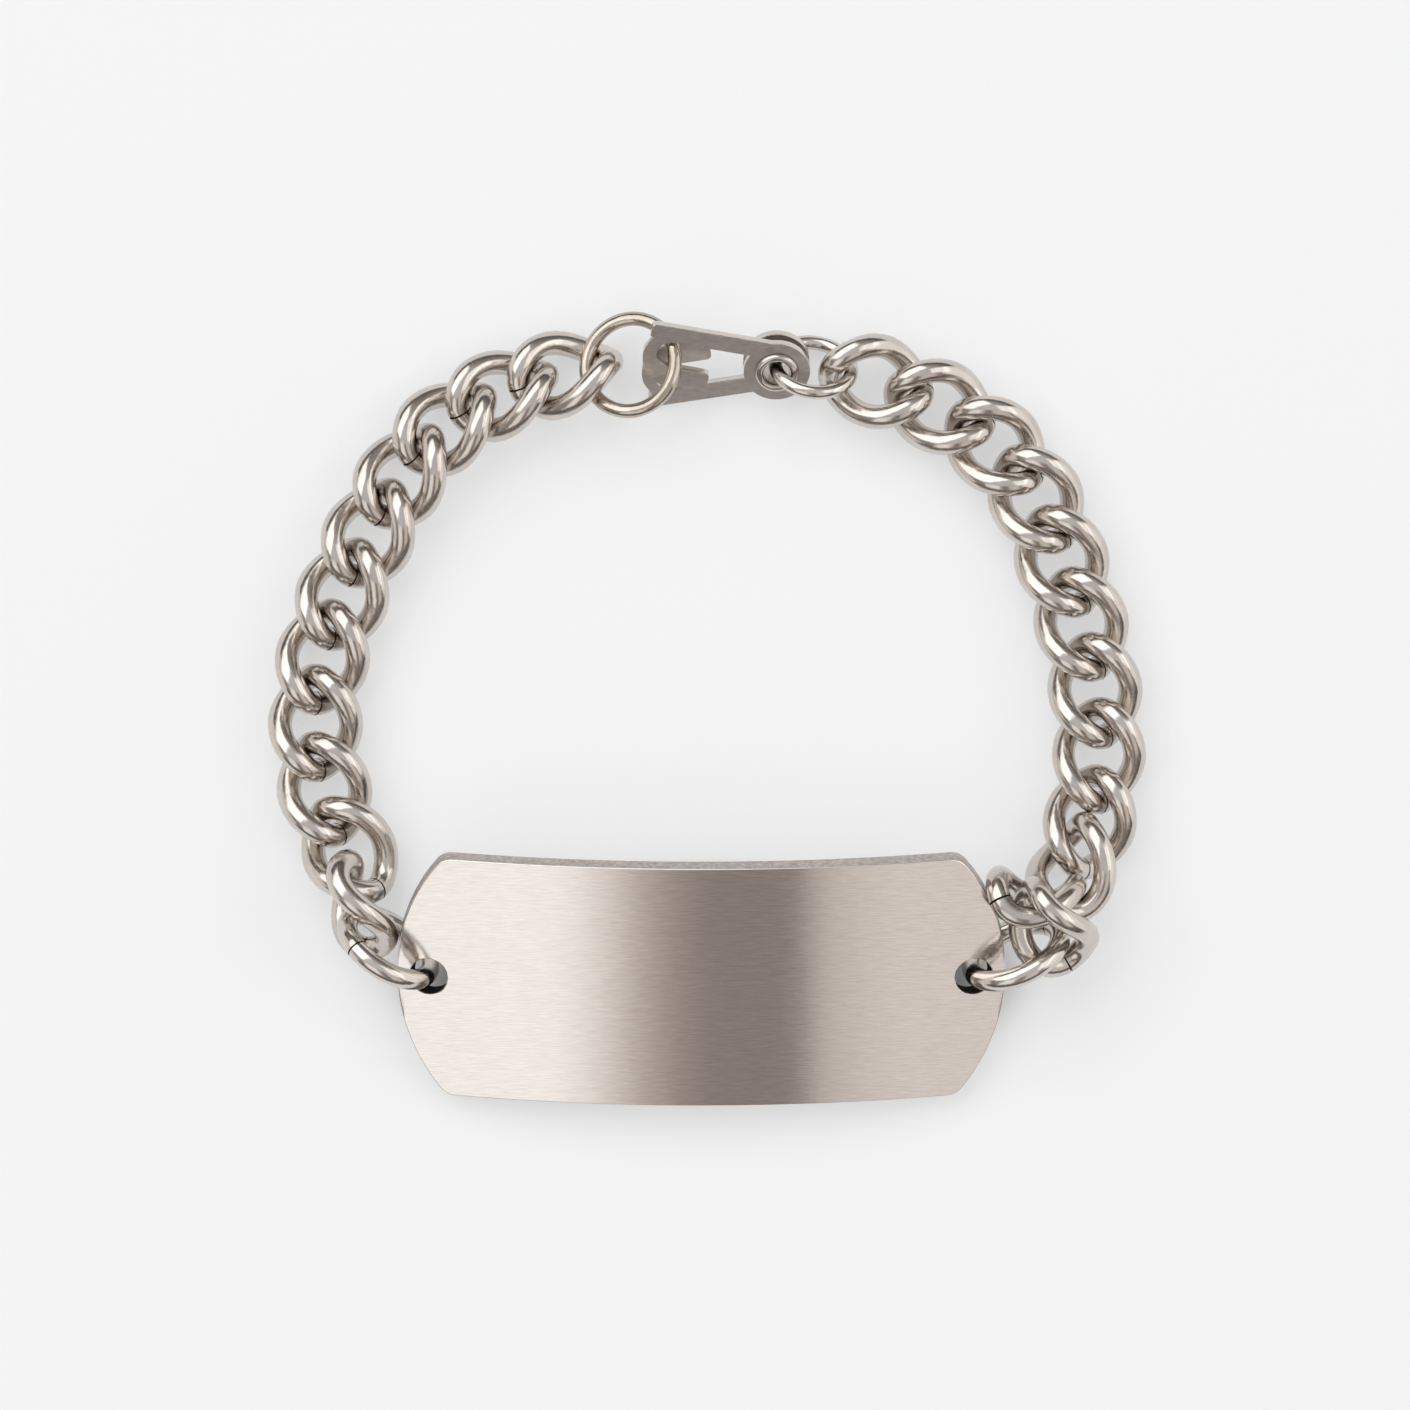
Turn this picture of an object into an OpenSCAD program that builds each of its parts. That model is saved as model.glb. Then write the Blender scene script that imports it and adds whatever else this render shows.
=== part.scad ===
// Identity bracelet: a curved name plate, two curb chains and a pair of sister hooks
// that close over a ring. It lies on a flat surface, a little bunched up at the plate.
// Millimetres, Z up. The origin is on the surface, under the middle of the bracelet.

/* [Plate] */
// Length of the name plate from tip to tip
plate_length = 48.5; // [40:0.5:56]
// Width of the name plate
plate_width = 20.3; // [16:0.1:24]
// Thickness of the plate's sheet metal
plate_thickness = 1.7; // [1.2:0.1:2.2]
// Radius that the plate is bent to along its length
plate_bend = 96; // [70:1:160]
// Radius of the rounded ends of the plate
plate_end_radius = 15.3; // [12:0.1:22]
// Radius on the plate's four corners
plate_corner = 1.6; // [0.8:0.1:3]
// Bore for the jump ring at each end of the plate
plate_hole = 3; // [2.6:0.1:3.4]
// Distance from the hole's centre to the plate's tip
hole_inset = 2.55; // [2.4:0.05:3.2]
// Angle that the plate leans at, its inner edge raised
plate_lean = 20; // [16:1:22]

/* [Chain] */
// Diameter of the chain links' wire
link_wire = 1.8; // [1.6:0.05:1.85]
// Length of a link over the wire
link_length = 9.4; // [9.2:0.05:9.5]
// Width of a link over the wire
link_width = 7.5; // [7.2:0.05:7.6]
// Twist of a link from its middle to each end
link_twist = 48; // [44:1:52]

/* [Rings] */
// Wire of the jump rings at the plate
plate_ring_wire = 1.65; // [1.4:0.05:1.75]
// Diameter of the plate's jump rings at the middle of their wire
plate_ring_size = 7.5; // [7:0.1:7.8]
// Wire of the ring that the hooks close over
hook_ring_wire = 1.15; // [1:0.05:1.2]
// Diameter of the ring that the hooks close over, at the middle of its wire
hook_ring_size = 7.5; // [7.2:0.1:7.8]
// Wire of the jump ring through the eyelet
eyelet_ring_wire = 1.15; // [1:0.05:1.2]
// Diameter of the jump ring through the eyelet, at the middle of its wire
eyelet_ring_size = 6.1; // [6:0.1:6.3]

/* [Clasp] */
// Thickness of the hooks' sheet metal
hook_thickness = 0.65; // [0.5:0.05:0.7]
// Length of a hook from the eyelet's axis to the far end of its head
hook_length = 10.8; // [10.6:0.1:11]
// Width of a hook's straight back
hook_back = 1.4; // [1.1:0.05:1.5]
// Radius of the eye of each hook
eye_radius = 2.65; // [2.5:0.05:2.9]
// Bore of each hook's eye
eye_bore = 2.9; // [2.85:0.05:3.1]
// Outer diameter of the eyelet's tube
eyelet_tube = 2.75; // [2.6:0.05:2.8]
// Bore of the eyelet
eyelet_bore = 2.2; // [2.1:0.05:2.25]
// Diameter of the eyelet's rolled flanges
eyelet_flange = 3.5; // [3.3:0.1:3.8]
// Angle that the clasp leans at about its length
clasp_lean = 37.6; // [36:0.1:39]

/* [Hidden] */

// Each link's place on the table: centre x, y, z, then heading, tilt and roll in degrees
left_links = [
    [-11.35, 26.8, 2.9, -166, 1, 29],
    [-16.35, 25.2, 2.75, -159, 3, 24],
    [-20.8, 22.6, 2.65, -142, 0, 21],
    [-24.25, 18.65, 2.6, -125, 2, 19],
    [-26.9, 14.05, 2.45, -118, 2, 13],
    [-29.1, 9.15, 2.3, -111, 1, 8],
    [-30.75, 4.1, 2.2, -103, 1, 3],
    [-31.35, -1.2, 2.15, -90, 0, 0],
    [-30.65, -6.5, 2.15, -76, 0, -1],
    [-28.7, -11.4, 2.35, -57, -7, -2],
    [-27.95, -15.8, 3.6, -72, 19, -107]
];
right_links = [
    [13.5, 26.1, 2.65, -15, 6, 0],
    [18.6, 24.1, 2.25, -25, 4, 1],
    [23.05, 20.95, 2.2, -43, 2, 1],
    [26.3, 16.7, 2.15, -61, 1, 1],
    [28.35, 11.75, 2.15, -69, 0, 0],
    [29.9, 6.7, 2.15, -74, 0, 0],
    [31, 1.4, 2.15, -82, 0, 0],
    [31.3, -3.8, 2.15, -92, 0, 0],
    [30.55, -9.15, 2.15, -102, 0, 0],
    [29.1, -12.7, 3.6, -103, -20, 30],
    [26, -14.9, 5.25, -177, -40, 73],
    [27.25, -17.4, 6.5, -69, 35, 39]
];

// Middle of the plate's outer face
plate_place = [-0.5, -22.2, 7.24];

// Plate jump rings: centre x, y, z, the heading of the side away from the plate, and the
// lean of the ring from upright towards the left of that heading
left_ring = [-25.43, -19.03, 4.25, 145, 25];
right_ring = [24.57, -19.47, 4.24, 25, -26];

// Centre of the eyelet, and the clasp's pitch, its head raised
eyelet_place = [5.5, 27.4, 3.2];
clasp_pitch = 1.6;

// Turn of each hook about the eyelet, away from the clasp's own line
upper_fan = 11.4;
lower_fan = 10.4;

// Height of each hook's middle over the eyelet's middle, held apart by the ring
upper_height = 0.72;
lower_height = -0.66;

// Ring that the hooks close over: centre, then its tilts about X and about Y
hook_ring_place = [-6.13, 27.35, 4];
hook_ring_tilt = [-8.4, -19];

// Jump ring of the eyelet: centre x, y, z, heading away from the eyelet and lean from upright
eyelet_ring_place = [8.44, 27.21, 2.96, -9, -43];

// Eyelet's inner height between the flanges, and a flange's thickness
eyelet_gap = 2.3;
flange_height = 0.3;

// Steps round a link and sides of its wire
link_steps = 16;
wire_sides = 6;

// Steps along each rounded end and each corner of the plate's outline
end_steps = 24;
corner_steps = 5;

steel = "#c9c5bf";
satin = "#8f8a86";
$fn = 64;

// Link: the middle of the wire at angle t, an oval twisted about its length
function link_point(t) =
    let (
        half = (link_length - link_wire) / 2,
        x = half * cos(t),
        y = (link_width - link_wire) / 2 * sin(t),
        turn = -link_twist * x / half
    )
    [x, y * cos(turn), y * sin(turn)];

function unit(v) = v / norm(v);

// One corner of the wire's section, at angle t round the link
function link_corner(t, side) =
    let (
        middle = link_point(t),
        along = unit(link_point(t + 1) - link_point(t - 1)),
        outward = unit(middle - along * (middle * along)),
        across = cross(along, outward),
        angle = 360 * side / wire_sides
    )
    middle + link_wire / 2 * (cos(angle) * outward + sin(angle) * across);

// Two triangles between one side of the wire and the next step round the link
function link_faces(step, side) =
    let (
        next = (step + 1) % link_steps,
        beside = (side + 1) % wire_sides,
        a = step * wire_sides + side,
        b = next * wire_sides + side,
        c = next * wire_sides + beside,
        d = step * wire_sides + beside
    )
    [[a, c, b], [a, d, c]];

// One curb link, placed by a row of the tables above
module link(place) {
    points = [
        for (step = [0 : link_steps - 1], side = [0 : wire_sides - 1])
            link_corner(360 * step / link_steps, side)
    ];
    faces = [
        for (step = [0 : link_steps - 1], side = [0 : wire_sides - 1])
            each link_faces(step, side)
    ];
    color(steel)
        translate([place[0], place[1], place[2]])
            rotate([place[5], place[4], place[3]])
                polyhedron(points, faces);
}

// A round wire ring, lying flat about the origin
module wire_ring(size, wire) {
    rotate_extrude()
        translate([size / 2, 0])
            circle(d = wire);
}

// Points of an arc about a centre, from one angle to another
function arc(centre, radius, from, to, steps) = [
    for (i = [0 : steps])
        let (angle = from + (to - from) * i / steps)
        centre + radius * [cos(angle), sin(angle)]
];

// Right half of the plate's outline, from the bottom edge round the end to the top edge
function plate_end() =
    let (
        end_centre = [plate_length / 2 - plate_end_radius, 0],
        rise = plate_width / 2 - plate_corner,
        reach = sqrt(pow(plate_end_radius - plate_corner, 2) - rise * rise),
        corner = end_centre + [reach, rise],
        meet = atan2(rise, reach)
    )
    concat(
        arc([corner[0], -rise], plate_corner, -90, -meet, corner_steps),
        arc(end_centre, plate_end_radius, -meet, meet, end_steps),
        arc(corner, plate_corner, meet, 90, corner_steps)
    );

module plate_outline() {
    right = plate_end();
    left = [for (p = right) [-p[0], -p[1]]];
    polygon(concat(right, left));
}

// The cylinder that the plate is bent round, its top at height zero
module bend_cylinder(radius) {
    translate([0, 0, -plate_bend])
        rotate([90, 0, 0])
            cylinder(r = radius, h = 2 * plate_width, center = true, $fn = 180);
}

// Name plate: a flat outline bent along its length, with a bore square to it at each end
module plate() {
    hole_reach = plate_length / 2 - hole_inset;
    hole_angle = asin(hole_reach / plate_bend);
    depth = 8;
    color(steel)
        translate(plate_place)
            rotate([plate_lean, 0, 0])
                difference() {
                    intersection() {
                        translate([0, 0, -depth])
                            linear_extrude(2 * depth)
                                plate_outline();
                        bend_cylinder(plate_bend);
                    }
                    bend_cylinder(plate_bend - plate_thickness);
                    for (side = [-1, 1])
                        translate([0, 0, -plate_bend])
                            rotate([0, side * hole_angle, 0])
                                translate([0, 0, plate_bend - 2 * plate_thickness])
                                    cylinder(d = plate_hole, h = 4 * plate_thickness);
                }
}

// A jump ring through one of the plate's bores
module plate_ring(place) {
    color(steel)
        translate([place[0], place[1], place[2]])
            rotate([90 - place[4], 0, place[3]])
                wire_ring(plate_ring_size, plate_ring_wire);
}

module plate_ring_left() {
    plate_ring(left_ring);
}

module plate_ring_right() {
    plate_ring(right_ring);
}

// Ring on the chain's left end, which the hooks close over
module hook_ring() {
    color(steel)
        translate(hook_ring_place)
            rotate([hook_ring_tilt[0], hook_ring_tilt[1], 0])
                wire_ring(hook_ring_size, hook_ring_wire);
}

// Jump ring from the eyelet to the chain's right end
module eyelet_ring() {
    place = eyelet_ring_place;
    color(steel)
        translate([place[0], place[1], place[2]])
            rotate([90 - place[4], 0, place[3]])
                wire_ring(eyelet_ring_size, eyelet_ring_wire);
}

// Carries what is built about the eyelet to the clasp's place
module clasp_frame() {
    translate(eyelet_place)
        rotate([clasp_lean, clasp_pitch, 0])
            children();
}

// Eyelet: a tube with a rolled flange at each end, which both hooks turn on
module eyelet() {
    face = eyelet_gap / 2;
    end = face + flange_height;
    color(steel)
        clasp_frame()
            rotate_extrude()
                polygon([
                    [eyelet_bore / 2, -end],
                    [eyelet_flange / 2, -end],
                    [eyelet_flange / 2, -face],
                    [eyelet_tube / 2, -face],
                    [eyelet_tube / 2, face],
                    [eyelet_flange / 2, face],
                    [eyelet_flange / 2, end],
                    [eyelet_bore / 2, end]
                ]);
}

// Outline of a hook about its eye: a straight back, a round head and a returning tongue
module hook_outline(tongue_end) {
    back_top = eye_radius - 0.15;
    back_foot = back_top - hook_back;
    tongue_top = -1.25;
    tongue_foot = -3.15;
    head_radius = (back_top - tongue_foot) / 2;
    head_x = head_radius - hook_length;
    slot_width = back_foot - tongue_top;
    slot_x = -8.6;
    difference() {
        union() {
            circle(r = eye_radius);
            translate([0.2 - hook_length, back_foot])
                square([hook_length - 0.2, hook_back]);
            translate([head_x, (back_top + tongue_foot) / 2])
                circle(r = head_radius);
            translate([head_x, tongue_foot])
                square([tongue_end - head_x, tongue_top - tongue_foot]);
        }
        circle(d = eye_bore);
        translate([slot_x, tongue_top])
            square([tongue_end - slot_x + 1, slot_width]);
        translate([slot_x, tongue_top + slot_width / 2])
            circle(d = slot_width + 0.01);
        translate([0.25 - hook_length, back_foot - 0.1])
            circle(r = 0.45);
    }
}

// Upper hook: its back on the raised side
module hook_upper() {
    color(satin)
        clasp_frame()
            rotate([0, 0, -upper_fan])
                translate([0, 0, upper_height])
                    linear_extrude(hook_thickness, center = true)
                        hook_outline(-5.2);
}

// Lower hook: the upper one turned over
module hook_lower() {
    color(satin)
        clasp_frame()
            rotate([0, 0, lower_fan])
                translate([0, 0, lower_height])
                    linear_extrude(hook_thickness, center = true)
                        mirror([0, 1])
                            hook_outline(-5);
}

plate();
for (i = [1 : len(left_links)])
    link(left_links[i - 1]);
for (i = [1 : len(right_links)])
    link(right_links[i - 1]);
plate_ring_left();
plate_ring_right();
hook_ring();
eyelet_ring();
eyelet();
hook_upper();
hook_lower();
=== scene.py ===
# %% [markdown]
# # Identity bracelet
# A bent name plate hangs between two curb chains by jump rings, and a pair of sister hooks
# closes over the ring at the other end. The CAD model gives every piece its place, but its
# wire is six-sided and its metal is plain. This lesson gives the pieces the look of the
# real ones: round wire with its butt joints, a plate with softened edges and a brushed
# face, punched sheet hooks and a rolled eyelet.

# %% Load the model
import math
import bmesh
import bpy
from mathutils import Matrix, Vector


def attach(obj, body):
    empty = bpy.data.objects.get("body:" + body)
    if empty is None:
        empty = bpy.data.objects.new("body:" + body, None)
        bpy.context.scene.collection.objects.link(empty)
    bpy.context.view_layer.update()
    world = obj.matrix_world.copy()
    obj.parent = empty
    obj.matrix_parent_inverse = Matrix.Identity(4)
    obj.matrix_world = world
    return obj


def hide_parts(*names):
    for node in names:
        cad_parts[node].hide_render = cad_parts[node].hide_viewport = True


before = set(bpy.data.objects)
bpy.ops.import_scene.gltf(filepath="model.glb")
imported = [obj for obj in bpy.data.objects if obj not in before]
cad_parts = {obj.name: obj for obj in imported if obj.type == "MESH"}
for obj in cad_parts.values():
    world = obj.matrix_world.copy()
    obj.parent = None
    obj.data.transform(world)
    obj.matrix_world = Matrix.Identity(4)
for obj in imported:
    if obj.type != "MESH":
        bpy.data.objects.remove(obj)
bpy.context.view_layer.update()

MM = 0.001
scene = bpy.context.scene

# %% [markdown]
# ## The camera
# The photograph looks straight down. An orthographic camera would be simpler, but it shows
# no side of anything. A camera with a lens, half a metre above the loop, shows a little of
# each piece's flank towards the edge of the picture, as in the photograph. The lens is
# worked out from the width that the picture covers at the height of the chain.

# %% Camera
FRAME_WIDTH = 112.8 * MM
CAMERA_HEIGHT = 500 * MM
CHAIN_HEIGHT = 2 * MM
SENSOR_WIDTH = 36
camera_data = bpy.data.cameras.new("overhead_camera")
camera_data.sensor_width = SENSOR_WIDTH
camera_data.lens = SENSOR_WIDTH * (CAMERA_HEIGHT - CHAIN_HEIGHT) / FRAME_WIDTH
camera_data.clip_start = 0.01
camera_data.clip_end = 5
camera = bpy.data.objects.new("overhead_camera", camera_data)
camera.location = (-0.2 * MM, 0.24 * MM, CAMERA_HEIGHT)
scene.collection.objects.link(camera)
scene.camera = camera
print("lens in mm:", round(camera_data.lens, 1))

# %% [markdown]
# ## Small helpers for materials
# Colours are read off as ordinary screen colours and turned into linear light once, here.
# One helper adds a node with its settings and its links, so that a material reads as a
# list of what it is made of. A helper for each kind of node would only hide that list.

# %% Material helpers
def linear(code):
    """A colour such as C8C4BE as linear red, green, blue and alpha."""
    channels = [int(code[i:i + 2], 16) / 255 for i in (0, 2, 4)]
    lit = [c / 12.92 if c <= 0.04045 else ((c + 0.055) / 1.055) ** 2.4 for c in channels]
    return (*lit, 1.0)


def add_node(material, kind, settings=None, inputs=None):
    """Adds a node. Inputs are values, or sockets of other nodes to link from."""
    tree = material.node_tree
    node = tree.nodes.new(kind)
    for name, value in (settings or {}).items():
        setattr(node, name, value)
    for name, value in (inputs or {}).items():
        if isinstance(value, bpy.types.NodeSocket):
            tree.links.new(value, node.inputs[name])
        else:
            node.inputs[name].default_value = value
    return node


def start_material(name):
    """A material with only its output node, and that node."""
    material = bpy.data.materials.new(name)
    material.use_nodes = True
    material.node_tree.nodes.clear()
    output = add_node(material, "ShaderNodeOutputMaterial")
    return material, output


def finish_material(material, output, surface, socket="BSDF"):
    """Links the surface shader to the output."""
    material.node_tree.links.new(surface.outputs[socket], output.inputs["Surface"])
    print("material:", material.name)
    return material


print("screen grey 808080 in linear light:", round(linear("808080")[0], 3))

# %% [markdown]
# ## Polished wire
# The links are round stainless wire that was bent, twisted and tumbled. Tumbling leaves a
# bright surface with a faint orange peel and very fine scratches, so the mirror image is a
# little soft and uneven. One even roughness would be the quickest way, but it looks like
# chrome on plastic. Here a broad noise draws the peel, which tints and bumps the surface
# together, and a fine noise draws the scratches, which only change the roughness.

# %% Polished steel
# The peel is 2 mm from crest to crest. Real scratches are finer than a pixel of the
# picture, so they are drawn nearly 0.3 mm wide, which still shows.
PEEL_WIDTH = 2 * MM
SCRATCH_WIDTH = 2 / 7 * MM
PEEL_DEPTH = 0.08 * MM


def polished_steel(name, colour, tint, roughness, wobble):
    """Polished steel. A larger wobble bends the mirror image more."""
    material, output = start_material(name)
    place = add_node(material, "ShaderNodeTexCoord")
    peel = add_node(material, "ShaderNodeTexNoise", inputs={
        "Vector": place.outputs["Object"], "Scale": 1 / PEEL_WIDTH, "Detail": 3.0,
        "Roughness": 0.5})
    scratch = add_node(material, "ShaderNodeTexNoise", inputs={
        "Vector": place.outputs["Object"], "Scale": 1 / SCRATCH_WIDTH, "Detail": 2.0})
    shade = add_node(material, "ShaderNodeMix", settings={"data_type": "RGBA"}, inputs={
        0: peel.outputs["Fac"], 6: linear(tint), 7: linear(colour)})
    rough = add_node(material, "ShaderNodeMapRange", inputs={
        "Value": scratch.outputs["Fac"], "From Min": 0.3, "From Max": 0.75,
        "To Min": roughness * 0.7, "To Max": roughness * 1.6})
    bump = add_node(material, "ShaderNodeBump", inputs={
        "Height": peel.outputs["Fac"], "Strength": wobble, "Distance": PEEL_DEPTH})
    surface = add_node(material, "ShaderNodeBsdfPrincipled", inputs={
        "Base Color": shade.outputs[2], "Metallic": 1.0,
        "Roughness": rough.outputs["Result"], "Normal": bump.outputs["Normal"]})
    return finish_material(material, output, surface)


# Tumbled wire: warm grey and bright, with a slightly soft mirror image.
chain_steel = polished_steel("tumbled_stainless_wire", "DED7D0", "BFB7AF", 0.16, 0.35)
# Polished rings: a little lighter and clearer than the chain.
ring_steel = polished_steel("polished_stainless_ring", "DED8D1", "C9C2BA", 0.15, 0.5)
# The clasp's ring was soldered and reheated: straw patches and a rippled mirror image.
straw_steel = polished_steel("reheated_stainless_ring", "DBD3C8", "978A7B", 0.14, 1.3)
# Rolled eyelet: an even, slightly darker shine.
eyelet_steel = polished_steel("rolled_stainless_eyelet", "D6D0CA", "C4BCB5", 0.16, 0.4)

# %% [markdown]
# ## Satin sheet and the brushed plate
# The hooks are punched from sheet and keep a fine grey satin grain. The plate was brushed
# along its length, so its grain is many times longer than it is wide. Its sheared edge was
# never brushed and stays dull and speckled. The shader's anisotropy could smear the
# mirror image in the same way, but it shows no single lines. A noise that a Mapping node
# stretches shows them, and with no stretch it gives the speckle too.

# %% Satin and brushed steel
# A stretch under 1 makes the grain longer along that axis. The bend turns part of the
# plate's length towards Z, so its grain is stretched along X and Z alike.
EVEN = (1.0, 1.0, 1.0)
ALONG_PLATE = (0.06, 1.0, 0.06)
ALONG_HOOK = (0.3, 1.0, 1.0)


def brushed_steel(name, colour, dark_colour, roughness, grain_width, stretch, depth,
                  metal=1.0, gloss=0.5):
    """Steel with a grain. Its width and depth are in millimetres."""
    material, output = start_material(name)
    place = add_node(material, "ShaderNodeTexCoord")
    drawn = add_node(material, "ShaderNodeMapping", inputs={
        "Vector": place.outputs["Object"], "Scale": stretch})
    lines = add_node(material, "ShaderNodeTexNoise", inputs={
        "Vector": drawn.outputs["Vector"], "Scale": 1 / (grain_width * MM), "Detail": 4.0,
        "Roughness": 0.6})
    strength = add_node(material, "ShaderNodeMapRange", inputs={
        "Value": lines.outputs["Fac"], "From Min": 0.3, "From Max": 0.7})
    tint = add_node(material, "ShaderNodeMix", settings={"data_type": "RGBA"}, inputs={
        0: strength.outputs["Result"], 6: linear(dark_colour), 7: linear(colour)})
    rough = add_node(material, "ShaderNodeMapRange", inputs={
        "Value": lines.outputs["Fac"], "From Min": 0.25, "From Max": 0.75,
        "To Min": roughness * 0.85, "To Max": roughness * 1.2})
    bump = add_node(material, "ShaderNodeBump", inputs={
        "Height": lines.outputs["Fac"], "Strength": 0.5, "Distance": depth * MM})
    surface = add_node(material, "ShaderNodeBsdfPrincipled", inputs={
        "Base Color": tint.outputs[2], "Metallic": metal, "Specular IOR Level": gloss,
        "Roughness": rough.outputs["Result"], "Normal": bump.outputs["Normal"]})
    return finish_material(material, output, surface)


# Brushed plate: a clear mirror image that fine lines draw out sideways. A real grain is
# about half as wide, which would not show.
plate_steel = brushed_steel("brushed_stainless_plate", "EEE9E5", "DCD6D1", 0.12, 1 / 12,
                            ALONG_PLATE, 0.006)
# Sheared edge: torn metal that scatters the light, with darker specks 0.4 mm across.
edge_steel = brushed_steel("sheared_stainless_edge", "D2CAC4", "9A918B", 0.4, 0.4,
                           EVEN, 0.04)
# Drilled bore: painted shade. The wall is near black and no bare metal, standing in for
# the shadow inside the hole, so it reads as a dark hole. The wires' cut ends take the same
# dark colour, so a butt joint shows as a dark hair line.
bore_shade_and_joint_steel = brushed_steel("painted_shade_bore_and_dark_joint", "2E2926", "181513", 0.8, 1 / 3,
                           EVEN, 0.02, metal=0.0, gloss=0.1)
# Satin sheet: a soft grey sheen without a mirror image, its grain 0.2 mm wide.
hook_steel = brushed_steel("satin_stainless_sheet", "E0D9D5", "CEC7C2", 0.36, 0.2,
                           ALONG_HOOK, 0.004)

# %% [markdown]
# ## Bending wire
# A chain maker bends round wire over a former, and its ends meet in a butt joint. A curve
# with a round bevel would make such wire too, but its ends could have no chamfer and no
# finish of their own. Here a circle is extruded along the path step by step, each new
# circle is carried to its own place, and the two cut ends are closed and chamfered.

# %% Wire sweeping
# The path's direction is taken half a degree before and after a place. A chamfer is a
# share of the wire's thickness.
HALF_DEGREE = 0.5
LINK_CHAMFER, RING_CHAMFER = 0.02, 0.03


def section_frame(path, t):
    """Place and turn of the wire's section at angle t, square to the path."""
    here = path(t)
    along = (path(t + HALF_DEGREE) - path(t - HALF_DEGREE)).normalized()
    outward = (here - along * here.dot(along)).normalized()
    across = along.cross(outward)
    turn = Matrix((outward, across, along)).transposed().to_4x4()
    return Matrix.Translation(here) @ turn


def close_end(mesh, loop, chamfer):
    """Closes a cut end of wire. The cut and its chamfer take the second material."""
    cap = bmesh.ops.contextual_create(mesh, geom=loop)["faces"][0]
    cap.material_index = 1
    made = bmesh.ops.bevel(mesh, geom=list(cap.edges), offset=chamfer, offset_type="OFFSET",
                           segments=1, profile=0.5, affect="EDGES", material=-1)
    for face in made["faces"]:
        face.material_index = 1


def swept_wire(path, wire, steps, sides, seam, gap):
    """A wire bent round a closed path, its ends a gap apart in degrees at the seam."""
    mesh = bmesh.new()
    angles = [seam + gap / 2 + (360 - gap) * i / steps for i in range(steps + 1)]
    places = [section_frame(path, a) for a in angles]
    first = bmesh.ops.create_circle(mesh, segments=sides, radius=wire / 2,
                                    matrix=places[0])["verts"]
    ring = list({e for v in first for e in v.link_edges})
    ends = [list(ring)]
    for before, after in zip(places, places[1:]):
        grown = bmesh.ops.extrude_edge_only(mesh, edges=ring)["geom"]
        moved = [g for g in grown if isinstance(g, bmesh.types.BMVert)]
        bmesh.ops.transform(mesh, matrix=after @ before.inverted(), verts=moved)
        ring = [g for g in grown if isinstance(g, bmesh.types.BMEdge)
                and all(v in moved for v in g.verts)]
    ends.append(ring)
    for loop in ends:
        close_end(mesh, loop, wire * LINK_CHAMFER)
    bmesh.ops.recalc_face_normals(mesh, faces=mesh.faces)
    return mesh


def trial_circle(t):
    """A circle of 1 mm radius, to try the sweep on."""
    return Vector((math.cos(math.radians(t)), math.sin(math.radians(t)), 0)) * MM


trial = swept_wire(trial_circle, 0.2 * MM, 12, 8, 0, 1)
print("faces in a small trial ring:", len(trial.faces))
trial.free()

# %% [markdown]
# ## Putting a piece in its place
# Every piece stands for one solid of the CAD model, rides on that solid's body and has a
# slot that says which finish it wears. An object's own location would do in an ordinary
# scene. Here the place is worked into the mesh, because the export sets every object back
# to the origin, and the patterns would slide.

# %% Placing pieces
def make_piece(name, mesh, materials, node, body="bracelet", sharp=40, flat=()):
    """Turns a bmesh into the piece for a CAD node. Materials listed as flat stay faceted."""
    for face in mesh.faces:
        face.smooth = face.material_index not in flat
    for edge in mesh.edges:
        edge.smooth = edge.calc_face_angle(0) < math.radians(sharp)
    data = bpy.data.meshes.new(name)
    mesh.to_mesh(data)
    mesh.free()
    piece = bpy.data.objects.new(name, data)
    scene.collection.objects.link(piece)
    for material in materials:
        data.materials.append(material)
    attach(piece, body)
    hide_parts(node)
    return piece


def turned(roll, tilt, heading):
    """Turn about X, then about Y, then about Z, in degrees."""
    r, t, h = (math.radians(a) for a in (roll, tilt, heading))
    return (Matrix.Rotation(h, 4, "Z") @ Matrix.Rotation(t, 4, "Y")
            @ Matrix.Rotation(r, 4, "X"))


def at(x, y, z):
    """A place in millimetres."""
    return Matrix.Translation(Vector((x, y, z)) * MM)


print("a quarter turn takes X to:", [round(c) for c in turned(0, 0, 90) @ Vector((1, 0, 0))])

# %% [markdown]
# ## The curb links
# A curb link is an oval of wire twisted until it lies flat against its neighbours. One link
# could be repeated along a curve, but a chain that lies as it fell gives every link its
# own tilt and roll. So each row of the tables places one link: its centre in mm, then its
# heading, tilt and roll in degrees. The wire's middle line follows the same rule as in the
# CAD. The shown wire is round and a little fuller than the six-sided wire of the CAD,
# except where the last links on the right lie crowded.

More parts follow.
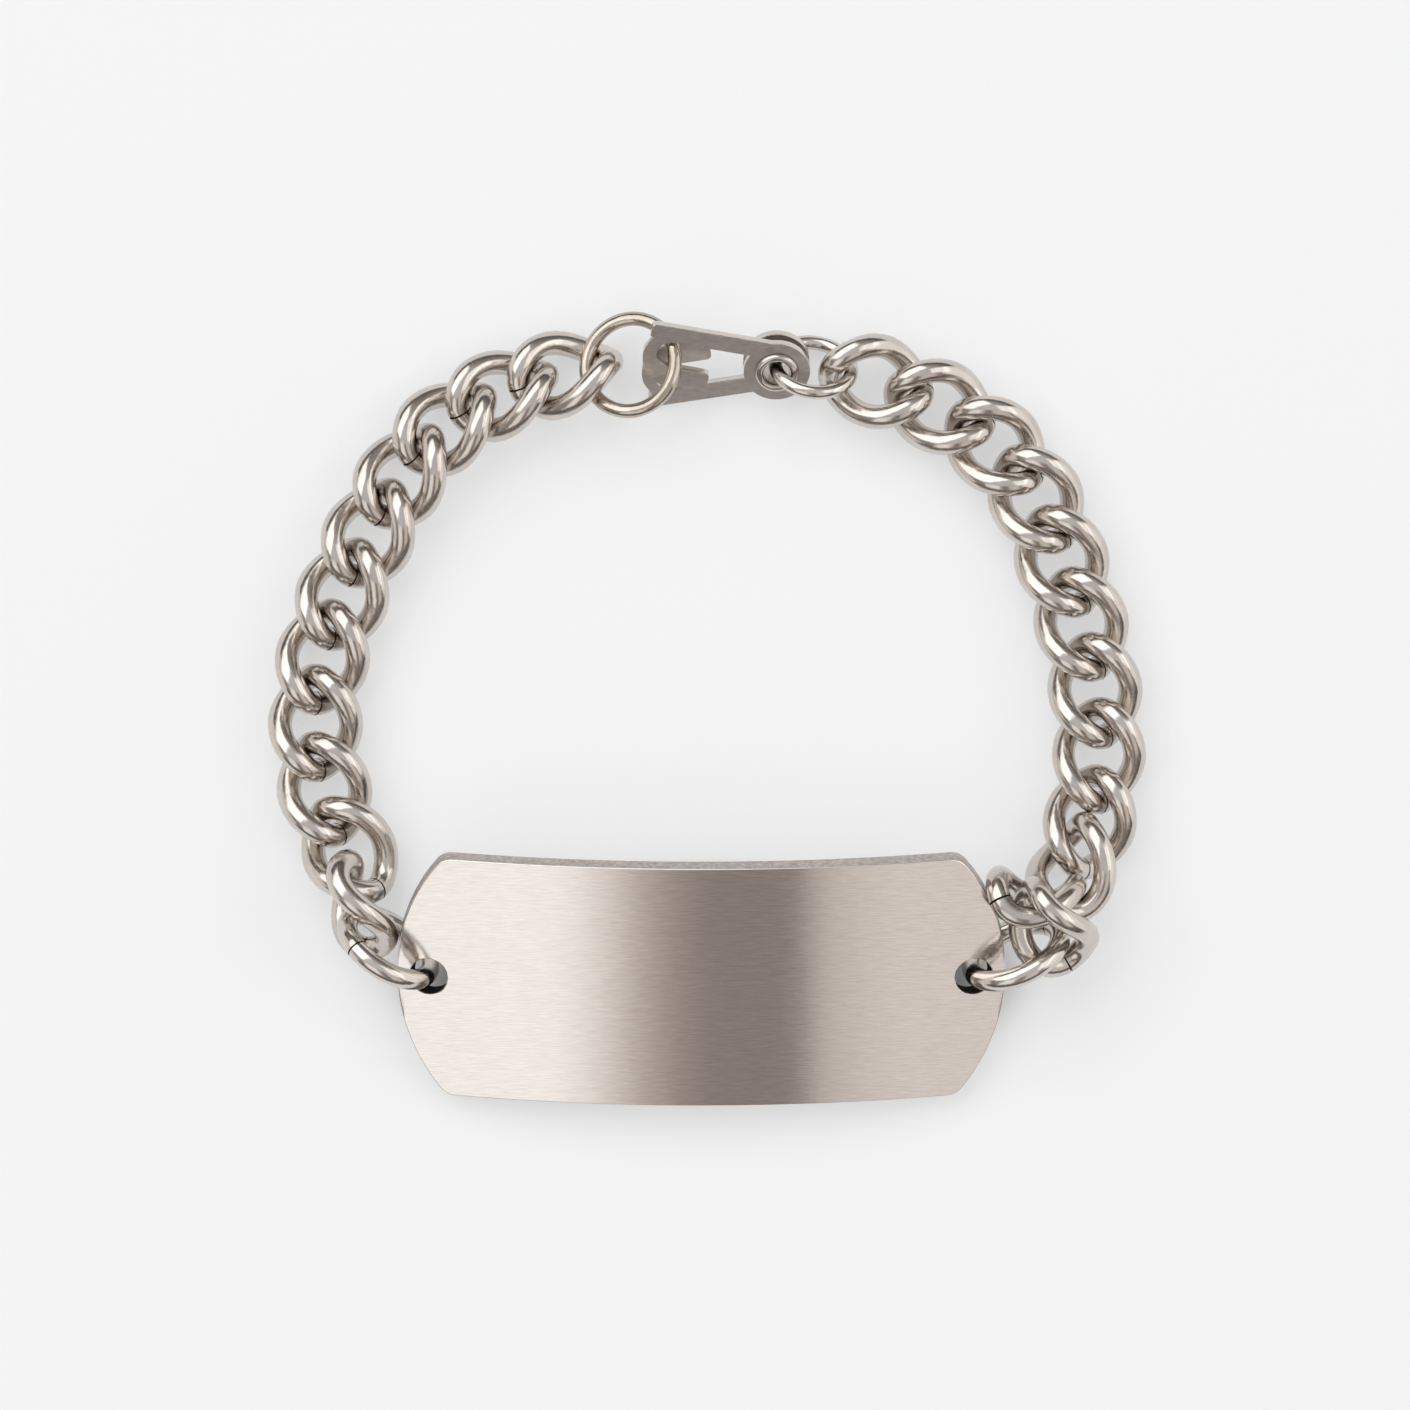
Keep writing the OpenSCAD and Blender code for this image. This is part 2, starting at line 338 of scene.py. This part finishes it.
# %% Where the links lie
LEFT_LINKS = [
    (-11.35, 26.8, 2.9, -166, 1, 29),
    (-16.35, 25.2, 2.75, -159, 3, 24),
    (-20.8, 22.6, 2.65, -142, 0, 21),
    (-24.25, 18.65, 2.6, -125, 2, 19),
    (-26.9, 14.05, 2.45, -118, 2, 13),
    (-29.1, 9.15, 2.3, -111, 1, 8),
    (-30.75, 4.1, 2.2, -103, 1, 3),
    (-31.35, -1.2, 2.15, -90, 0, 0),
    (-30.65, -6.5, 2.15, -76, 0, -1),
    (-28.7, -11.4, 2.35, -57, -7, -2),
    (-27.95, -15.8, 3.6, -72, 19, -107),
]
RIGHT_LINKS = [
    (13.5, 26.1, 2.65, -15, 6, 0),
    (18.6, 24.1, 2.25, -25, 4, 1),
    (23.05, 20.95, 2.2, -43, 2, 1),
    (26.3, 16.7, 2.15, -61, 1, 1),
    (28.35, 11.75, 2.15, -69, 0, 0),
    (29.9, 6.7, 2.15, -74, 0, 0),
    (31, 1.4, 2.15, -82, 0, 0),
    (31.3, -3.8, 2.15, -92, 0, 0),
    (30.55, -9.15, 2.15, -102, 0, 0),
    (29.1, -12.7, 3.6, -103, -20, 30),
    (26, -14.9, 5.25, -177, -40, 73),
    (27.25, -17.4, 6.5, -69, 35, 39),
]
print("links:", len(LEFT_LINKS), "on the left,", len(RIGHT_LINKS), "on the right")

# %% [markdown]
# ## Bending the links
# The links' butt joint sits in a rounded end, where a chain maker closes it. Every link is
# swept on its own and laid in its row's place. Copies of one mesh would save memory, but
# the wire differs, and each place has to be in the mesh.

# %% Curb links
CAD_WIRE, LINK_LENGTH, LINK_WIDTH, LINK_TWIST = 1.8, 9.4, 7.5, 48
SHOWN_WIRE, CROWDED_WIRE, FIRST_CROWDED = 1.94, 1.84, 8
LINK_STEPS, LINK_SIDES, LINK_SEAM, LINK_GAP = 44, 14, 4, 1.5


def link_path(t):
    """Middle of a link's wire at angle t, in metres."""
    a = math.radians(t)
    x = math.cos(a)
    y = math.sin(a) * (LINK_WIDTH - CAD_WIRE) / 2
    turn = -math.radians(LINK_TWIST) * x
    half = (LINK_LENGTH - CAD_WIRE) / 2
    return Vector((x * half, y * math.cos(turn), y * math.sin(turn))) * MM


def make_link(name, row, wire):
    """One link, laid in its row's place."""
    x, y, z, heading, tilt, roll = row
    mesh = swept_wire(link_path, wire * MM, LINK_STEPS, LINK_SIDES, LINK_SEAM, LINK_GAP)
    bmesh.ops.transform(mesh, matrix=at(x, y, z) @ turned(roll, tilt, heading),
                        verts=mesh.verts)
    return make_piece(name + "_wire", mesh, [chain_steel, bore_shade_and_joint_steel], name)


for number, row in enumerate(LEFT_LINKS, 1):
    make_link(f"link_left_{number}", row, SHOWN_WIRE)
for number, row in enumerate(RIGHT_LINKS, 1):
    wire = SHOWN_WIRE if number < FIRST_CROWDED else CROWDED_WIRE
    link = make_link(f"link_right_{number}", row, wire)
print("faces in a link:", len(link.data.polygons))

# %% [markdown]
# ## The jump rings
# A jump ring is one turn of round wire, closed with pliers. A torus would be quicker, but
# it has no ends. A circle that is spun about the ring's axis and stops just short of a full
# turn leaves the cut that shows on the real rings. The clasp's ring is soldered, and its
# joint is only a fine line.

# %% Jump rings
RING_SIDES, RING_STEPS = 20, 80
PLATE_RING, PLATE_RING_WIRE = 7.5, 1.65
HOOK_RING, EYELET_RING, CLASP_WIRE = 7.5, 6.1, 1.15


def jump_ring(name, size, wire, place, seam, gap=0.7, material=ring_steel):
    """A ring, from its middle circle and its wire in mm, with its cut at the seam's angle."""
    mesh = bmesh.new()
    start = math.radians(seam + gap / 2)
    section = bmesh.ops.create_circle(
        mesh, segments=RING_SIDES, radius=wire / 2 * MM,
        matrix=Matrix.Rotation(start, 4, "Z") @ Matrix.Translation((size / 2 * MM, 0, 0))
        @ Matrix.Rotation(math.radians(90), 4, "X"))["verts"]
    loop = list({e for v in section for e in v.link_edges})
    spun = bmesh.ops.spin(mesh, geom=section + loop, cent=(0, 0, 0), axis=(0, 0, 1),
                          angle=math.radians(360 - gap), steps=RING_STEPS)
    last = [g for g in spun["geom_last"] if isinstance(g, bmesh.types.BMEdge)]
    for end in (loop, last):
        close_end(mesh, end, wire * RING_CHAMFER * MM)
    bmesh.ops.recalc_face_normals(mesh, faces=mesh.faces)
    bmesh.ops.transform(mesh, matrix=place, verts=mesh.verts)
    return make_piece(name + "_wire", mesh, [material, bore_shade_and_joint_steel], name)


jump_ring("plate_ring_left", PLATE_RING, PLATE_RING_WIRE,
          at(-25.43, -19.03, 4.25) @ turned(65, 0, 145), seam=60)
jump_ring("plate_ring_right", PLATE_RING, PLATE_RING_WIRE,
          at(24.57, -19.47, 4.24) @ turned(116, 0, 25), seam=-20)
jump_ring("hook_ring", HOOK_RING, CLASP_WIRE,
          at(-6.13, 27.35, 4) @ turned(-8.4, -19, 0), seam=200, gap=0.02,
          material=straw_steel)
ring = jump_ring("eyelet_ring", EYELET_RING, CLASP_WIRE,
                 at(8.44, 27.21, 2.96) @ turned(133, 0, -9), seam=-25)
print("faces in a ring:", len(ring.data.polygons))

# %% [markdown]
# ## The name plate's outline
# The plate is sheet metal with round ends and a bore at each end, cut flat and bent to the
# wrist. A filled outline would be the shortest way, but its large faces cannot be bent
# smoothly. So the outline is measured at any distance from the middle, and the plate can be
# laid out in narrow strips that each stay flat.

# %% Plate outline
PLATE_LENGTH, PLATE_WIDTH, PLATE_THICKNESS, PLATE_BEND = 48.5, 20.3, 1.7, 96
END_RADIUS, CORNER_RADIUS, HOLE_RADIUS, HOLE_X = 15.3, 1.6, 1.5, 21.7
END_X = PLATE_LENGTH / 2 - END_RADIUS
CORNER_Y = PLATE_WIDTH / 2 - CORNER_RADIUS
CORNER_X = END_X + math.sqrt((END_RADIUS - CORNER_RADIUS) ** 2 - CORNER_Y ** 2)
MEET_X = END_X + (CORNER_X - END_X) * END_RADIUS / (END_RADIUS - CORNER_RADIUS)


def half_width(x):
    """Half the plate's width at a distance x from its middle."""
    x = abs(x)
    if x <= CORNER_X:
        return PLATE_WIDTH / 2
    if x <= MEET_X:
        return CORNER_Y + math.sqrt(CORNER_RADIUS ** 2 - (x - CORNER_X) ** 2)
    return math.sqrt(max(END_RADIUS ** 2 - (x - END_X) ** 2, 0))


def half_hole(x):
    """Half the height of the bore at a distance x from the plate's middle."""
    return math.sqrt(max(HOLE_RADIUS ** 2 - (abs(x) - HOLE_X) ** 2, 0))


print("the round end starts in mm from the middle:", round(MEET_X, 2))

# %% [markdown]
# ## Laying out the plate in strips
# Strips of one even width would miss the bores and round ends, so a strip ends wherever the
# outline or a bore needs a corner. Very narrow strips would spoil the even shading later,
# so a place too close to one that is already there is left out.

# %% Flat plate
# Each half of the plate is cut into 98 strips of 0.2 mm before its corner starts.
FLAT_STRIPS = 98
NARROWEST_STRIP = 0.08
SAME_PLACE = 1e-5
WELD_DISTANCE = 0.004


def stations():
    """Places along the plate where its outline or a bore needs a corner."""
    kept = [0.0, CORNER_X, PLATE_LENGTH / 2]
    kept += [HOLE_X - HOLE_RADIUS * math.cos(math.radians(a)) for a in range(0, 181, 20)]
    between = [CORNER_X * i / FLAT_STRIPS for i in range(FLAT_STRIPS)]
    between += [CORNER_X + (MEET_X - CORNER_X) * math.sin(math.radians(a))
                for a in range(10, 91, 10)]
    between += [MEET_X + (PLATE_LENGTH / 2 - MEET_X) * math.sin(math.radians(a))
                for a in range(4, 91, 4)]
    for x in between:
        if min(abs(x - other) for other in kept) > NARROWEST_STRIP:
            kept.append(x)
    kept.sort()
    return [-x for x in reversed(kept[1:])] + kept


def strip(mesh, corners):
    """One face from corners given as x and y, leaving out corners that coincide."""
    points = []
    for x, y in corners:
        if not points or abs(points[-1][0] - x) + abs(points[-1][1] - y) > SAME_PLACE:
            points.append((x, y))
    if len(points) > 1 and points[0] == points[-1]:
        points.pop()
    if len(points) > 2:
        mesh.faces.new([mesh.verts.new((x, y, 0)) for x, y in points])


mesh = bmesh.new()
places = stations()
for x0, x1 in zip(places, places[1:]):
    w0, w1 = half_width(x0), half_width(x1)
    h0, h1 = half_hole(x0), half_hole(x1)
    strip(mesh, [(x0, -w0), (x1, -w1), (x1, -h1), (x0, -h0)])
    strip(mesh, [(x0, h0), (x1, h1), (x1, w1), (x0, w0)])
bmesh.ops.remove_doubles(mesh, verts=mesh.verts, dist=WELD_DISTANCE)
print("strips along the plate:", len(places) - 1)

# %% [markdown]
# ## Thickness and broken edges
# The flat sheet is extruded to its thickness. A Solidify modifier would do that too, but
# the sides have to be known here: the sheared edge gets its own finish, and the bores get
# a dark painted shade.
# The rims are then bevelled, since polishing breaks the edges of the real plate, and the
# bevel takes the finish of the face.

# %% Plate thickness
FACE, EDGE, BORE = 0, 1, 2
STEEP = math.radians(60)
SIDEWAYS = 0.5
BORE_REACH = 0.2
BROKEN_EDGE = 0.14
grown = bmesh.ops.extrude_face_region(mesh, geom=list(mesh.faces))["geom"]
bmesh.ops.translate(mesh, vec=(0, 0, -PLATE_THICKNESS),
                    verts=[g for g in grown if isinstance(g, bmesh.types.BMVert)])
bmesh.ops.recalc_face_normals(mesh, faces=mesh.faces)
# Side faces near a bore take the bore's dark painted shade, the others the sheared edge.
for face in mesh.faces:
    if abs(face.normal.z) < SIDEWAYS:
        middle = face.calc_center_median()
        off_bore = math.hypot(abs(middle.x) - HOLE_X, middle.y) - HOLE_RADIUS
        face.material_index = BORE if off_bore < BORE_REACH else EDGE
rims = [e for e in mesh.edges if e.calc_face_angle(0) > STEEP]
made = bmesh.ops.bevel(mesh, geom=rims, offset=BROKEN_EDGE, offset_type="OFFSET",
                       segments=3, profile=0.5, affect="EDGES", clamp_overlap=True,
                       material=-1)
for face in made["faces"]:
    face.material_index = FACE
print("bevel faces on the plate:", len(made["faces"]))

# %% [markdown]
# ## Bending the plate
# The plate is rolled to a radius of 96 mm and leans on its rings. A Simple Deform modifier
# could bend it by an angle, but the CAD gives a radius, and the two have to agree closely.
# So each corner is dropped onto its circle, and near a bore it is also moved sideways with
# its depth, which keeps the bore square to the bent sheet. A Weighted Normal modifier lets
# the large faces steer the shading, so the narrow bevels don't bend the reflection.

# %% Name plate
PLATE_LEAN = 20
BORE_SLOPE = 13.06
SQUARE_RIM, FADE_RIM = 0.3, 0.6
for vert in mesh.verts:
    x, y, z = vert.co
    off_rim = math.hypot(abs(x) - HOLE_X, y) - HOLE_RADIUS
    near = max(0.0, 1 - max(0.0, off_rim - SQUARE_RIM) / FADE_RIM)
    x += math.copysign(1, x) * z * math.sin(math.radians(BORE_SLOPE)) * near
    depth = PLATE_BEND + z
    vert.co = Vector((x, y, math.sqrt(depth ** 2 - x ** 2) - PLATE_BEND)) * MM
bmesh.ops.transform(mesh, matrix=at(-0.5, -22.2, 7.24) @ turned(PLATE_LEAN, 0, 0),
                    verts=mesh.verts)
plate = make_piece("plate_sheet", mesh, [plate_steel, edge_steel, bore_shade_and_joint_steel], "plate",
                   sharp=50)
weighted = plate.modifiers.new("even_shading", "WEIGHTED_NORMAL")
weighted.keep_sharp = True
weighted.weight = 100
print("plate faces:", len(plate.data.polygons))

# %% [markdown]
# ## The sister hooks' outline
# Both hooks are punched from one blank: an eye, a straight back, a round head and a tongue
# that returns below a slot. The blank could be put together from discs and bars with
# Boolean modifiers, but every joint would leave a corner to clean. One outline of arcs,
# joined by straight edges, keeps every corner round.

# %% Hook outline
HOOK_LENGTH, HOOK_BACK, EYE_RADIUS, EYE_BORE, SLOT_X = 10.8, 1.4, 2.65, 2.9, -8.6
TONGUE_TOP, TONGUE_FOOT, TONGUE_CORNER = -1.25, -3.15, 0.4
TIP_CORNER, NOTCH_RADIUS = 0.35, 0.6
BACK_TOP = EYE_RADIUS - 0.15
BACK_FOOT = BACK_TOP - HOOK_BACK
TIP_X = 0.2 - HOOK_LENGTH


def arc(x, y, radius, start, end, steps):
    """Points along an arc, from the start angle to the end angle in degrees."""
    turns = [math.radians(start + (end - start) * i / steps) for i in range(steps + 1)]
    return [(x + radius * math.cos(a), y + radius * math.sin(a)) for a in turns]


def corner_angle(beside, other, across):
    """Angle in degrees between two sides of a triangle, from the three sides' lengths."""
    return math.degrees(math.acos((beside ** 2 + other ** 2 - across ** 2)
                                  / (2 * beside * other)))


def hook_outline(tongue_end):
    """The hook's outline about its eye, in mm, starting at the tip of the back."""
    head_radius = (BACK_TOP - TONGUE_FOOT) / 2
    head_x = head_radius - HOOK_LENGTH
    head_y = (BACK_TOP + TONGUE_FOOT) / 2
    slot_radius = (BACK_FOOT - TONGUE_TOP) / 2
    notch_x, notch_y = TIP_X - 0.05, BACK_FOOT - 0.3
    out = notch_y - head_y, notch_x - head_x
    span = math.hypot(*out)
    facing = math.degrees(math.atan2(*out))
    on_head = corner_angle(head_radius, span, NOTCH_RADIUS)
    on_notch = corner_angle(NOTCH_RADIUS, span, head_radius)
    above = math.degrees(math.asin(BACK_TOP / EYE_RADIUS))
    below = math.degrees(math.asin(BACK_FOOT / EYE_RADIUS))
    corner_x = tongue_end - TONGUE_CORNER
    points = arc(TIP_X + TIP_CORNER, BACK_TOP - TIP_CORNER, TIP_CORNER, 90, 180, 6)
    points += arc(notch_x, notch_y, NOTCH_RADIUS, 85, facing - 180 + on_notch, 12)
    points += arc(head_x, head_y, head_radius, facing + on_head + 1, 270, 20)
    points += arc(corner_x, TONGUE_FOOT + TONGUE_CORNER, TONGUE_CORNER, -90, 0, 6)
    points += arc(corner_x, TONGUE_TOP - TONGUE_CORNER, TONGUE_CORNER, 0, 90, 6)
    points += arc(SLOT_X, (BACK_FOOT + TONGUE_TOP) / 2, slot_radius, 270, 90, 16)
    points += arc(0, 0, EYE_RADIUS, 180 - below, 540 - above, 44)
    return points


print("points in a hook's outline:", len(hook_outline(-5.2)))

# %% [markdown]
# ## Punching the hooks
# The outline is filled round the eye's bore and extruded to the sheet's thickness, and its
# edges are broken. The lower hook is the same blank turned over, which a scale of -1 does,
# so its normals are made anew afterwards. The cut rims are polished and brighter than the
# satin faces, and the faces are shaded flat, as sheet is.

# %% Sister hooks
SATIN, RIM = 0, 1
LEVEL = 0.01
HOOK_THICKNESS, HOOK_EDGE = 0.65, 0.08
CLASP = at(5.5, 27.4, 3.2) @ turned(37.6, 1.6, 0)


def edge_loop(mesh, points):
    """A closed loop of edges through the points."""
    corners = [mesh.verts.new((x, y, 0)) for x, y in points]
    return [mesh.edges.new((a, b)) for a, b in zip(corners, corners[1:] + corners[:1])]


def make_hook(name, tongue_end, fan, height, turned_over, body):
    """A hook, fanned out in degrees and raised in mm from the middle of the clasp."""
    mesh = bmesh.new()
    edges = edge_loop(mesh, hook_outline(tongue_end))
    edges += edge_loop(mesh, arc(0, 0, EYE_BORE / 2, 0, 352.5, 47))
    bmesh.ops.triangle_fill(mesh, use_beauty=True, edges=edges)
    grown = bmesh.ops.extrude_face_region(mesh, geom=list(mesh.faces))["geom"]
    bmesh.ops.translate(mesh, vec=(0, 0, HOOK_THICKNESS),
                        verts=[g for g in grown if isinstance(g, bmesh.types.BMVert)])
    bmesh.ops.translate(mesh, vec=(0, 0, -HOOK_THICKNESS / 2), verts=mesh.verts)
    if turned_over:
        bmesh.ops.scale(mesh, vec=(1, -1, 1), verts=mesh.verts)
    bmesh.ops.recalc_face_normals(mesh, faces=mesh.faces)
    for face in mesh.faces:
        face.material_index = RIM if abs(face.normal.z) < SIDEWAYS else SATIN
    rims = [e for e in mesh.edges if e.calc_face_angle(0) > STEEP
            and abs(e.verts[0].co.z - e.verts[1].co.z) < LEVEL]
    made = bmesh.ops.bevel(mesh, geom=rims, offset=HOOK_EDGE, offset_type="OFFSET",
                           segments=2, profile=0.5, affect="EDGES", clamp_overlap=True,
                           material=-1)
    for face in made["faces"]:
        face.material_index = RIM
    place = CLASP @ turned(0, 0, fan) @ at(0, 0, height) @ Matrix.Scale(MM, 4)
    bmesh.ops.transform(mesh, matrix=place, verts=mesh.verts)
    return make_piece(name + "_sheet", mesh, [hook_steel, ring_steel], name, body,
                      sharp=50, flat=(SATIN,))


make_hook("hook_upper", -5.2, -11.4, 0.72, False, "upper_hook")
hook = make_hook("hook_lower", -5.0, 10.4, -0.66, True, "lower_hook")
print("faces in a hook:", len(hook.data.polygons))

# %% [markdown]
# ## The eyelet
# The hooks turn on an eyelet: a short tube whose ends are rolled outwards into smooth
# lips. It could be put together from a tube and two tori, with hidden faces inside. Its
# section is drawn once and spun about the tube's axis instead, which gives one clean skin.

# %% Eyelet
EYELET_BORE, EYELET_TUBE, EYELET_FLANGE, EYELET_FACE, LIP = 2.2, 2.75, 3.5, 1.15, 0.3
middle_radius = (EYELET_BORE + EYELET_FLANGE) / 4
half_lip = (EYELET_FLANGE - EYELET_BORE) / 4
rolled = [(middle_radius + half_lip * math.cos(a), EYELET_FACE + LIP * math.sin(a))
          for a in (math.pi * i / 10 for i in range(10, -1, -1))]
upper_half = rolled + [(EYELET_TUBE / 2, EYELET_FACE)]
section = upper_half + [(x, -z) for x, z in reversed(upper_half)]
mesh = bmesh.new()
corners = [mesh.verts.new((x, 0, z)) for x, z in section]
edges = [mesh.edges.new((a, b)) for a, b in zip(corners, corners[1:] + corners[:1])]
bmesh.ops.spin(mesh, geom=corners + edges, cent=(0, 0, 0), axis=(0, 0, 1),
               angle=math.radians(360), steps=48, use_merge=True)
bmesh.ops.recalc_face_normals(mesh, faces=mesh.faces)
bmesh.ops.transform(mesh, matrix=CLASP @ Matrix.Scale(MM, 4), verts=mesh.verts)
eyelet = make_piece("eyelet_tube", mesh, [eyelet_steel], "eyelet")
print("faces in the eyelet:", len(eyelet.data.polygons))

# %% [markdown]
# ## The table
# The bracelet lies on a pale, matt table that is lit evenly up to the picture's edge. More
# lamps could light it so, but they would all show in the polished metal. So the table
# glows a little by itself. The glow fades under the plate into a painted shadow, where no
# light reaches a real table, and the picture's tones are shown plainly, without a film curve.

# %% Table
# The painted shadow is an ellipse under the plate, 27.5 by 10 mm from its middle to its
# rim. The scale is one over these lengths in metres, and the shift moves it 21.7 mm to the
# front.
SHADE_SCALE = (36.4, 100.0, 0.0)
SHADE_SHIFT = (0.0, 2.17, 0.0)
TABLE_GLOW = 0.47


def flat_panel(name, width, height):
    """A rectangle about the origin, for the stage."""
    mesh = bmesh.new()
    bmesh.ops.create_grid(mesh, x_segments=1, y_segments=1, size=0.5)
    bmesh.ops.scale(mesh, vec=(width, height, 1), verts=mesh.verts)
    data = bpy.data.meshes.new(name)
    mesh.to_mesh(data)
    mesh.free()
    panel = bpy.data.objects.new(name, data)
    scene.collection.objects.link(panel)
    return panel


scene.view_settings.view_transform = "Standard"
table = flat_panel("table", 3, 3)
table.location = (0, 0, -0.05 * MM)
material, output = start_material("table_surface")
spot = add_node(material, "ShaderNodeTexCoord")
below = add_node(material, "ShaderNodeMapping", inputs={
    "Vector": spot.outputs["Object"], "Location": SHADE_SHIFT, "Scale": SHADE_SCALE})
reach = add_node(material, "ShaderNodeVectorMath", settings={"operation": "LENGTH"},
                 inputs={0: below.outputs["Vector"]})
glow = add_node(material, "ShaderNodeMapRange", {"interpolation_type": "SMOOTHSTEP"}, {
    "Value": reach.outputs["Value"], "From Min": 0.7, "From Max": 1.0,
    "To Min": 0.0, "To Max": TABLE_GLOW})
surface = add_node(material, "ShaderNodeBsdfPrincipled", inputs={
    "Base Color": linear("BDBEBF"), "Roughness": 0.9, "Specular IOR Level": 0.1,
    "Emission Color": linear("F8F9FA"), "Emission Strength": glow.outputs["Result"]})
table.data.materials.append(finish_material(material, output, surface))

# %% [markdown]
# ## The lights
# A broad soft light from the upper left gives the faint shadows to the lower right, and a
# weaker one from the right opens them. A sun lamp would give hard shadows, so both are
# large area lamps, and each is turned to face the bracelet.

# %% Soft lights
def soft_light(name, size, place, power):
    """An area lamp that faces the bracelet."""
    data = bpy.data.lights.new(name, "AREA")
    data.shape = "RECTANGLE"
    data.size, data.size_y = size
    data.energy = power
    light = bpy.data.objects.new(name, data)
    light.location = place
    light.rotation_euler = (-Vector(place)).to_track_quat("-Z", "Y").to_euler()
    scene.collection.objects.link(light)
    print("light:", name, power, "W")


soft_light("window_left", (2.0, 1.15), (-0.65, 0.7, 1.0), 10)
soft_light("fill_right", (0.9, 0.9), (0.9, 0.15, 0.8), 2.2)

# %% [markdown]
# ## The boards
# Metal shows what is round it, so a photographer puts boards round a bracelet. The bent
# plate mirrors the board in front, which is bright at the left and has a dark band, and
# the boards at the sides give the wire its pale flanks. Diffuse boards would need lamps of
# their own, so these glow. The band is a ramp of a few tones across its board: each stop is
# a distance from the board's middle in metres and a tone.

# %% Boards
BOARD_GLOW = 1.12
BAND_BOARD_WIDTH = 1.2
BAND = [(-0.186, "FFFDFB"), (-0.132, "E9E3DF"), (-0.08, "BAB1AC"), (-0.028, "998E89"),
        (0.0, "8A817D"), (0.128, "847C78"), (0.142, "C2BAB5"), (0.25, "DAD3CE")]


# The boards are painted light: each tone, and the band's tones, is light that the board gives
# off.
def reflector(name, width, height, place, aim, tone="FFFFFF"):
    """A board that glows in one tone and faces the point that it is aimed at."""
    board = flat_panel(name, width, height)
    board.location = place
    board.rotation_euler = (Vector(aim) - Vector(place)).to_track_quat("Z", "Y").to_euler()
    material, output = start_material(name + "_glow_face")
    glow = add_node(material, "ShaderNodeEmission", inputs={
        "Color": linear(tone), "Strength": BOARD_GLOW})
    board.data.materials.append(finish_material(material, output, glow, "Emission"))
    return material, glow


band_glow_material, glow = reflector("banded_board", BAND_BOARD_WIDTH, 0.5, (0, -0.47, 0.54),
                        (0, -0.022, 0.007))
reflector("board_right", 1.4, 0.8, (1.1, 0.1, 0.4), (0, 0.1, 0.4), "FFFBF7")
reflector("board_left", 1.4, 0.44, (-1.1, 0.1, 0.22), (0, 0.1, 0.22), "DED7D0")

# The board faces the bracelet, so its own X runs from right to left and is turned round.
spot = add_node(band_glow_material, "ShaderNodeTexCoord")
parts = add_node(band_glow_material, "ShaderNodeSeparateXYZ", inputs={0: spot.outputs["Object"]})
across = add_node(band_glow_material, "ShaderNodeMapRange", inputs={
    "Value": parts.outputs["X"], "From Min": BAND_BOARD_WIDTH / 2,
    "From Max": -BAND_BOARD_WIDTH / 2})
ramp = add_node(band_glow_material, "ShaderNodeValToRGB", inputs={0: across.outputs["Result"]})
band = ramp.color_ramp
while len(band.elements) < len(BAND):
    band.elements.new(0.5)
for element, (x, tone) in zip(band.elements, BAND):
    element.position = x / BAND_BOARD_WIDTH + 0.5
    element.color = linear(tone)
band_glow_material.node_tree.links.new(ramp.outputs["Color"], glow.inputs["Color"])
print("stops in the band:", len(band.elements))

# %% [markdown]
# ## The room
# The rest of what the metal mirrors is the room: dim and warm near the floor, paler towards
# the ceiling. Walls and a ceiling could be built, but a ramp over the height of the
# direction looked in is enough for reflections this small. The dim part gives the wire
# its dark flanks.

# %% Room
world = bpy.data.worlds.new("studio")
world.use_nodes = True
background = world.node_tree.nodes["Background"]
scene.world = world
looking = add_node(world, "ShaderNodeTexCoord")
height = add_node(world, "ShaderNodeSeparateXYZ", inputs={0: looking.outputs["Generated"]})
room = add_node(world, "ShaderNodeValToRGB", inputs={0: height.outputs["Z"]})
walls = room.color_ramp
walls.elements[0].color = linear("55504C")
walls.elements[1].position = 0.95
walls.elements[1].color = linear("D8D8DA")
walls.elements.new(0.3).color = linear("7A7470")
walls.elements.new(0.6).color = linear("A8A4A1")
world.node_tree.links.new(room.outputs["Color"], background.inputs["Color"])
background.inputs["Strength"].default_value = 1.0
print("tones in the room:", len(walls.elements))
